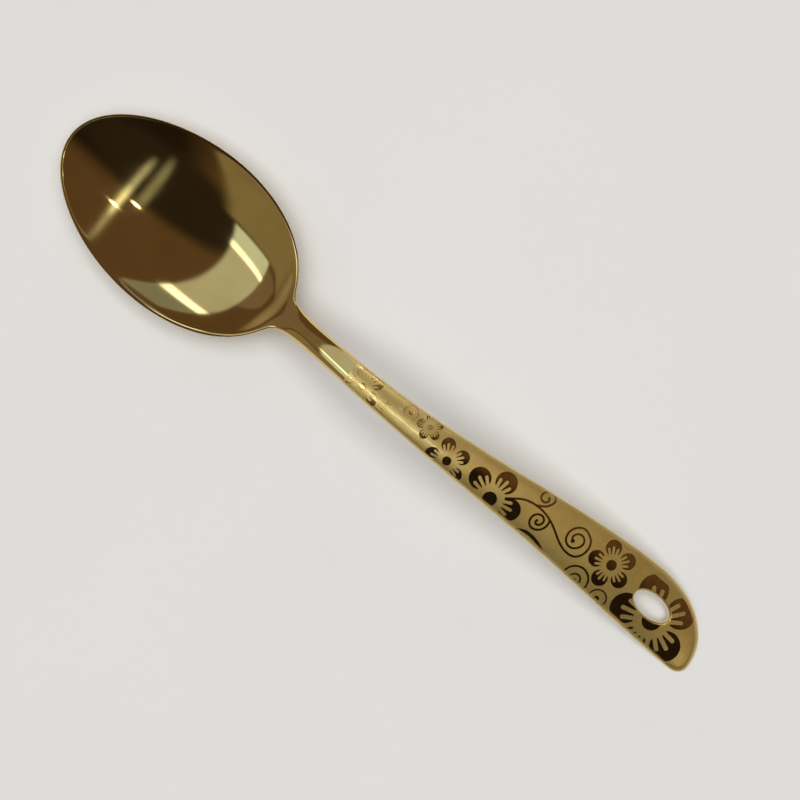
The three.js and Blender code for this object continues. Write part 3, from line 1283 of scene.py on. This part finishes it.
@dataclass
class Ornament:
    """Smooth raised ornament of flowers and scrolls on the handle's blasted face."""

    form: SpoonForm
    height: float = 0.015
    sink: float = 0.02
    bevel: float = 0.1
    cell: float = 0.12
    margin: float = 0.4
    eye_margin: float = 0.7
    eye_petal_side: float = 12.6
    haze_reach: float = 0.1
    overhang: float = 0.5
    ring_places: tuple[Place, Place] = ((191.27, -3.57), (200.17, -3.57))
    curl_place: Place = (125.28, 2.2)
    sliver_width: float = 0.42

    def motifs(self) -> dict[str, tuple[Field, Area]]:
        """Lays out the motifs.

        Returns:
            Each motif's distance field and the part of the handle that it covers.
        """
        end = Rosette((196.79, 6.28), turn=50.7)
        middle = Rosette((157.25, -1.78), turn=11.5, scale=1.3)
        slim = Rosette((141.25, -1.48), turn=51.5, scale=0.9, lobe=2.35, heart=1.5)
        fine = Rosette((131.8, 2.6), turn=51.5, scale=0.53, heart=1.45)
        return {
            "eye_rosette": (self.eye_rosette(), (203.0, 232.0, -6.0, 15.0)),
            "end_rosette": (end.field(), (189.5, 206.0, -2.0, 14.5)),
            "middle_rosette": (middle.field(), (147.0, 168.0, -5.0, 9.5)),
            "slim_rosette": (slim.field(), (134.0, 149.0, -5.0, 8.0)),
            "fine_rosette": (fine.field(), (126.0, 138.0, -4.5, 6.5)),
            "scrolls": (self.scrolls(), (160.0, 191.0, -4.5, 13.5)),
            "edge_rings": (self.edge_rings(), (187.0, 206.0, -5.5, 1.5)),
            "neck_fans": (self.neck_fans(), (105.0, 131.0, -4.5, 5.5)),
        }

    def eye_rosette(self) -> Field:
        """Gives the large flower round the eye, cut straight below the flared edge.

        Returns:
            The distance field.
        """
        turns = 0.0, 77.5, 144.0, 216.0, 288.0
        flower = Rosette((217.14, 1.79), turn=50.5, scale=1.88, petal_turns=turns, reach=4.75)
        shape = flower.field()
        return lambda s, y: np.maximum(shape(s, y), y - self.eye_petal_side)

    @staticmethod
    def scrolls() -> Field:
        """Gives the stem with its spirals and the leaf below it.

        Returns:
            The distance field.
        """
        stem = Scroll(
            (
                (160.61, 1.21), (163.1, 3.2), (164.79, 4.29), (167.28, 5.09), (169.77, 5.34),
                (172.26, 5.14), (174.7, 4.49), (177.13, 3.4), (179.62, 2.05), (181.56, 1.21),
                (183.55, 0.76), (185.0, 0.76), (186.49, 1.16), (187.63, 2.2), (188.28, 3.7),
                (188.38, 5.49), (187.93, 6.98), (186.89, 8.17), (185.49, 8.87), (184.15, 9.12),
                (182.76, 8.67), (181.46, 7.38), (180.92, 5.99), (181.02, 4.49), (181.76, 3.2),
                (182.96, 2.55), (184.2, 2.6), (185.39, 3.3), (186.19, 4.59), (186.29, 5.79),
                (185.69, 6.78), (184.6, 7.23), (183.55, 6.98), (182.71, 5.99), (182.66, 5.09),
                (183.35, 4.39),
            ),
            dot=0.68,
        )
        lower = Scroll(
            (
                (174.35, 4.59), (174.7, 3.2), (174.55, 2.0), (173.95, 0.81), (172.95, 0.01),
                (171.86, -0.33), (170.76, -0.09), (169.97, 0.81), (169.72, 2.0), (170.17, 3.3),
                (171.16, 3.99), (172.16, 4.09), (173.05, 3.5), (173.25, 2.6), (172.85, 1.71),
                (172.06, 1.26), (171.51, 1.61), (171.46, 2.2),
            ),
            dot=0.46,
        )
        upper = Scroll(
            (
                (168.77, 5.39), (170.07, 6.18), (171.26, 7.18), (171.96, 8.37), (172.16, 9.37),
                (171.76, 10.27), (170.96, 10.76), (169.97, 10.76), (169.07, 10.36), (168.28, 9.67),
                (167.98, 8.77), (168.18, 7.88), (168.97, 7.38), (169.97, 7.48), (170.56, 8.17),
                (170.61, 8.77), (170.17, 9.07),
            ),
            dot=0.46,
        )
        leaf = Scroll(
            (
                (168.47, -3.67), (170.07, -2.67), (171.56, -2.23), (173.25, -2.18), (175.24, -2.42),
                (177.23, -2.97), (179.12, -3.77), (180.2, -4.3),
            ),
            width=1.15,
            taper=0.3,
        )
        return joined(stem.field(), lower.field(), upper.field(), leaf.field())

    def edge_rings(self) -> Field:
        """Gives the rings that the handle's straight edge cuts off.

        Returns:
            The distance field.
        """
        first, second = self.ring_places
        return joined(
            ring(first, radius=3.95, width=0.75),
            ring(first, radius=1.65, width=0.7),
            disc((191.47, -3.97), radius=0.8),
            ring(second, radius=2.65, width=0.62),
            disc((200.03, -3.87), radius=1.0),
        )

    def neck_fans(self) -> Field:
        """Gives the worn flower and the fine curls next to the neck.

        Returns:
            The distance field.
        """
        flower = Rosette((110.4, -0.9), turn=51.5, scale=0.85, heart=1.2)
        slivers = (
            ((117.31, 0.21), (117.81, -0.58)),
            ((118.51, 0.31), (118.51, -0.38)),
            ((119.7, 0.21), (119.21, -0.58)),
            ((117.2, -2.1), (119.8, -2.1)),
            ((117.5, -2.9), (119.5, -2.9)),
        )
        bars = [bar(start, end, self.sliver_width) for start, end in slivers]
        curl = ring(self.curl_place, radius=2.0, width=0.45)
        open_curl = without(curl, disc((125.28, 0.21), radius=1.6))
        spots = disc((125.28, 2.3), radius=0.8), disc((129.16, 2.6), radius=0.8)
        return joined(flower.field(), *bars, open_curl, *spots)

    def clipped(self, motif: Field, s: Array, y: Array) -> Array:
        """Gives a motif's field, kept inside the handle's face and clear of its eye.

        Args:
            motif: the motif's distance field.
            s: places along the spoon.
            y: places across it.

        Returns:
            The distances.
        """
        edge = self.margin - self.form.inset(s, y)
        eye = self.eye_margin - self.form.eye_gap(s, y)
        start = self.form.satin_start + self.overhang - s
        return np.max([motif(s, y), edge, eye, start], axis=0)

    def plate(self, motif: Field, area: Area) -> Shell:
        """Makes a motif as a thin plate that follows the handle's face.

        Args:
            motif: the motif's distance field.
            area: first and last place along the spoon and across it.

        Returns:
            The closed shell.
        """
        s_line = np.arange(area[0], area[1], self.cell)
        y_line = np.arange(area[2], area[3], self.cell)
        s, y = np.meshgrid(s_line, y_line, indexing="ij")
        inside = (y < self.form.upper(s)) & (y > self.form.lower(s))
        depth = np.where(inside, self.clipped(motif, s, np.where(inside, y, 0.0)), self.cell)
        plan, faces = cut_cells(depth, s_line, y_line)
        s, y = plan[:, 0], plan[:, 1]
        top = self.form.skins(s, y)[0]
        raised = top - self.sink + (self.sink + self.height) * ease(-plan[:, 2] / self.bevel)
        count = len(plan)
        hidden = top - 2.0 * self.sink
        points = np.concatenate([self.form.point(s, y, z) for z in (raised, hidden)])
        under = [tuple(i + count for i in reversed(f)) for f in faces]
        sides = [(b, a, a + count, b + count) for a, b in open_edges(faces)]
        rough = np.concatenate([1.0 - ease(-plan[:, 2] / self.haze_reach), np.ones(count)])
        return Shell(points, faces, Shell.smooth(points, faces), under + sides, rough)

    def build(self) -> list[bpy.types.Object]:
        """Builds and dresses the motifs.

        Returns:
            The pieces, with the worn one next to the neck last.
        """
        material = OrnamentGold().material()
        pieces = []
        for name, (motif, area) in self.motifs().items():
            piece = self.plate(motif, area).mesh(f"ornament_{name}")
            piece.data.materials.append(material)
            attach(piece, "root")
            pieces.append(piece)
        return pieces


def cut_cells(depth: Array, s_line: Array, y_line: Array) -> tuple[Array, list[Face]]:
    """Fills the places where a field is below 0 with grid cells, cut along its outline.

    Args:
        depth: the field on the grid.
        s_line: the grid's places along the spoon.
        y_line: the grid's places across it.

    Returns:
        Rows of s, y and field for the points, and the faces.
    """
    points: list[Spot] = []
    numbers: dict[tuple[int, int, int, int], int] = {}

    def number(a: tuple[int, int], b: tuple[int, int]) -> int:
        """Gives the number of a grid point, or of the outline's crossing between two.

        Args:
            a: the grid point, by its two numbers.
            b: the other grid point, or the same one.

        Returns:
            The number.
        """
        key = (*min(a, b), *max(a, b))
        if key not in numbers:
            t = 0.0 if a == b else depth[a] / (depth[a] - depth[b])
            numbers[key] = len(points)
            points.append((
                mix(s_line[a[0]], s_line[b[0]], t),
                mix(y_line[a[1]], y_line[b[1]], t),
                mix(depth[a], depth[b], t),
            ))
        return numbers[key]

    inside = depth < 0.0
    touched = inside[:-1, :-1] | inside[1:, :-1] | inside[1:, 1:] | inside[:-1, 1:]
    faces: list[Face] = []
    for i, j in np.argwhere(touched).tolist():
        corners = [(i, j), (i + 1, j), (i + 1, j + 1), (i, j + 1)]
        face = []
        for a, b in zip(corners, corners[1:] + corners[:1]):
            if inside[a]:
                face.append(number(a, a))
            if inside[a] != inside[b]:
                face.append(number(a, b))
        if len(face) > 2:
            faces.append(tuple(face))
    return np.array(points), faces


def open_edges(faces: list[Face]) -> list[tuple[int, int]]:
    """Gives the edges that only one face uses, in that face's direction."""
    edges = {(a, b) for f in faces for a, b in zip(f, f[1:] + f[:1])}
    return [(a, b) for a, b in edges if (b, a) not in edges]


@dataclass(frozen=True)
class Patch:
    """A light part of the room that the metal shows, by the angles under which it is seen."""

    colour: Colour
    lean: Place
    side: Place
    lean_softness: float = 1.5
    side_softness: float = 1.5
    slant: float = 0.0

    @staticmethod
    def between(sheet: Sheet, slope: Value, limits: Place, softness: float) -> Value:
        """Gives 1 where a direction leans by an angle between two limits.

        Args:
            sheet: the world's nodes.
            slope: tangent of the direction's angle.
            limits: the two angles, in degrees.
            softness: how far each limit is blurred, in degrees.

        Returns:
            The mask.
        """
        steps = []
        for limit in limits:
            low, high = (math.tan(math.radians(limit + blur)) for blur in (-softness, softness))
            steps.append(sheet.step(slope, low, high))
        return steps[0] * (1.0 - steps[1])

    def mask(self, sheet: Sheet, lean: Value, side: Value) -> Value:
        """Gives 1 where the patch is seen.

        Args:
            sheet: the world's nodes.
            lean: how far a direction leans towards the bowl, as a tangent.
            side: how far it leans towards the flared side, as a tangent.

        Returns:
            The mask.
        """
        along = self.between(sheet, lean, self.lean, self.lean_softness)
        return along * self.between(sheet, side - self.slant * lean, self.side, self.side_softness)


def area_light(name: str, place: Spot, power: float, colour: Colour) -> bpy.types.Object:
    """Makes a flat soft light that faces straight down.

    Args:
        name: the light's name.
        place: where it hangs.
        power: its power, in watts.
        colour: its colour.

    Returns:
        The new light.
    """
    data = bpy.data.lights.new(name, "AREA")
    data.energy = power
    data.color = colour
    return placed(name, data, place)


@dataclass(frozen=True)
class Strip:
    """A flat soft light that is flagged off all but some of the pieces."""

    place: Spot
    size: Place
    power: float
    colour: Colour = WHITE

    def lamp(self, name: str, pieces: list[bpy.types.Object]) -> None:
        """Makes the light.

        Args:
            name: the light's name.
            pieces: the pieces that it lights.
        """
        lamp = area_light(name, self.place, self.power, self.colour)
        lamp.data.shape = "RECTANGLE"
        lamp.data.size, lamp.data.size_y = self.size
        lit = bpy.data.collections.new(f"{name}_lit")
        for piece in pieces:
            lit.objects.link(piece)
        lamp.light_linking.receiver_collection = lit


@dataclass
class Studio:
    """Pale floor, soft lights and the camera above the spoon."""

    floor_size: float = 6.0
    floor_drop: float = 0.00005
    camera_place: Spot = (0.00323, 0.00288, 0.45)
    camera_turn: float = 40.56
    camera_sensor: float = 36.0
    camera_clip: Place = (0.01, 50.0)
    frame_width: float = 0.23335
    lamp_places: tuple[Spot, ...] = ((0.039, 0.355, 0.65), (-0.018, 0.161, 0.65))
    lamp_size: float = 0.03
    lamp_power: float = 0.02
    lamp_colour: Colour = (1.0, 0.97, 0.90)
    strips: tuple[Strip, ...] = (
        Strip((-0.3, -0.2, 0.65), (1.2, 0.05), 1.65),
        Strip((-0.3, 0.75, 0.65), (1.2, 0.08), 2.2),
    )
    glow: Strip = Strip((0.36, 0.05, 0.5), (0.2, 0.5), 0.3, (1.0, 0.84, 0.55))
    fill_power: float = 30.0
    fill_size: float = 1.6
    fill_height: float = 1.8
    horizon: Colour = (0.32, 0.28, 0.23)
    horizon_height: Place = (0.02, 0.14)
    wall: Colour = (0.5, 0.47, 0.41)
    wall_side: Place = (0.3, 0.5)
    wall_height: Place = (0.2, 0.45)
    surround: Colour = (0.115, 0.072, 0.045)
    corner: Colour = (0.016, 0.011, 0.01)
    corner_along: Place = (-0.24, 0.08)
    corner_across: Place = (-0.1, 0.36)
    overhead: Colour = (0.026, 0.02, 0.016)
    overhead_axis: Spot = (-0.03, -0.42, 0.907)
    overhead_reach: Place = (0.78, 0.92)
    lowest_seen: float = 0.02
    patches: tuple[Patch, ...] = (
        Patch((0.25, 0.22, 0.16), (24.0, 80.0), (-80.0, -43.0), lean_softness=6.0, side_softness=3.0),
        Patch((0.2, 0.155, 0.125), (55.0, 78.0), (-36.0, 36.0), side_softness=4.0),
        Patch((0.53, 0.59, 0.66), WINDOW_LEAN, (-41.0, 76.0)),
        Patch((0.67, 0.83, 1.0), WINDOW_LEAN, (-41.0, -24.0)),
        Patch((2.2, 2.5, 3.0), WINDOW_LEAN, (-30.0, -24.0), slant=0.126),
        Patch((0.26, 0.29, 0.32), WINDOW_LEAN, (62.0, 76.0)),
        Patch((2.2, 2.5, 3.0), WINDOW_LEAN, (48.8, 57.0), slant=0.344),
        Patch((0.6, 0.66, 0.64), (-12.1, -10.1), (-31.0, 66.0), lean_softness=1.0, side_softness=12.0),
        Patch((1.7, 1.8, 1.6), (-11.8, -10.4), (6.0, 36.0), lean_softness=0.8, side_softness=9.0),
        Patch((0.3, 0.32, 0.28), (-7.3, -4.5), (-42.0, 14.0), lean_softness=1.3, side_softness=12.0),
    )

    def floor(self) -> None:
        """Makes the floor."""
        half = self.floor_size / 2.0
        data = bpy.data.meshes.new("floor")
        corners = [(-half, -half), (half, -half), (half, half), (-half, half)]
        data.from_pydata([(x, y, -self.floor_drop) for x, y in corners], [], [(0, 1, 2, 3)])
        data.materials.append(FloorPaint().material())
        floor = placed("floor", data)

    def fill(self) -> None:
        """Makes the wide soft light that lights the floor and isn't seen in the metal."""
        fill = area_light("fill", (0.0, 0.0, self.fill_height), self.fill_power, WHITE)
        fill.data.size = self.fill_size
        fill.visible_glossy = False

    def lamps(self) -> None:
        """Makes the small soft lights overhead, which face the spoon."""
        for i, place in enumerate(self.lamp_places):
            lamp = area_light(f"overhead_lamp_{i + 1}", place, self.lamp_power, self.lamp_colour)
            lamp.data.shape = "DISK"
            lamp.data.size = self.lamp_size
            lamp.rotation_euler = (-Vector(place)).to_track_quat("-Z", "Y").to_euler()

    def surroundings(self) -> None:
        """Makes the room that the metal shows: dim overhead, warm around, with a window."""
        world = bpy.data.worlds.new("studio")
        world.use_nodes = True
        sheet = Sheet(world.node_tree)
        towards = sheet.node("ShaderNodeTexCoord", {}, {}, "Generated")
        x, y, z = (sheet.node("ShaderNodeSeparateXYZ", {}, {0: towards}, i) for i in range(3))
        high = sheet.node("ShaderNodeMath", {"operation": "MAXIMUM"}, {0: z, 1: self.lowest_seen})
        lean, side = -x / high, y / high
        corner = sheet.step(x, *self.corner_along) * (1.0 - sheet.step(y, *self.corner_across))
        room = sheet.blend(corner, self.surround, self.corner)
        settings, inputs = {"operation": "DOT_PRODUCT"}, {0: towards, 1: self.overhead_axis}
        above = sheet.node("ShaderNodeVectorMath", settings, inputs, "Value")
        room = sheet.blend(sheet.step(above, *self.overhead_reach), room, self.overhead)
        wall = sheet.step(x, *self.wall_side) * (1.0 - sheet.step(z, *self.wall_height))
        room = sheet.blend(wall, room, self.wall)
        for patch in self.patches:
            room = sheet.blend(patch.mask(sheet, lean, side), room, patch.colour)
        room = sheet.blend(1.0 - sheet.step(z, *self.horizon_height), room, self.horizon)
        light = sheet.node("ShaderNodeBackground", {}, {"Color": room, "Strength": 1.0})
        sheet.node("ShaderNodeOutputWorld", {}, {"Surface": light})
        bpy.context.scene.world = world

    def camera(self) -> None:
        """Makes the camera, which looks straight down."""
        data = bpy.data.cameras.new("camera")
        data.sensor_width = self.camera_sensor
        data.lens = self.camera_sensor * self.camera_place[2] / self.frame_width
        data.clip_start, data.clip_end = self.camera_clip
        camera = placed("camera", data, self.camera_place)
        camera.rotation_euler = (0.0, 0.0, math.radians(self.camera_turn))
        bpy.context.scene.camera = camera

    def build(self, face: list[bpy.types.Object]) -> None:
        """Builds the floor, the lights and the camera.

        Args:
            face: the sections of the handle and the worn ornament on it.
        """
        self.floor()
        self.fill()
        self.lamps()
        for i, strip in enumerate(self.strips):
            strip.lamp(f"strip_lamp_{i + 1}", face)
        self.glow.lamp("glow_lamp", face)
        self.surroundings()
        self.camera()
        bpy.context.scene.view_settings.view_transform = "Standard"


def main() -> None:
    """Builds the spoon, its ornament and the studio."""
    logging.basicConfig(level=logging.INFO, format="%(name)s: %(message)s")
    form = SpoonForm()
    body = SpoonBody(form).build()
    ornament = Ornament(form).build()
    for piece in body + ornament:
        LOG.info("%s has %d faces", piece.name, len(piece.data.polygons))
    stem, handle_end, worn = body[2], body[3], ornament[-1]
    Studio().build([stem, handle_end, worn])


if __name__ == "__main__":
    main()
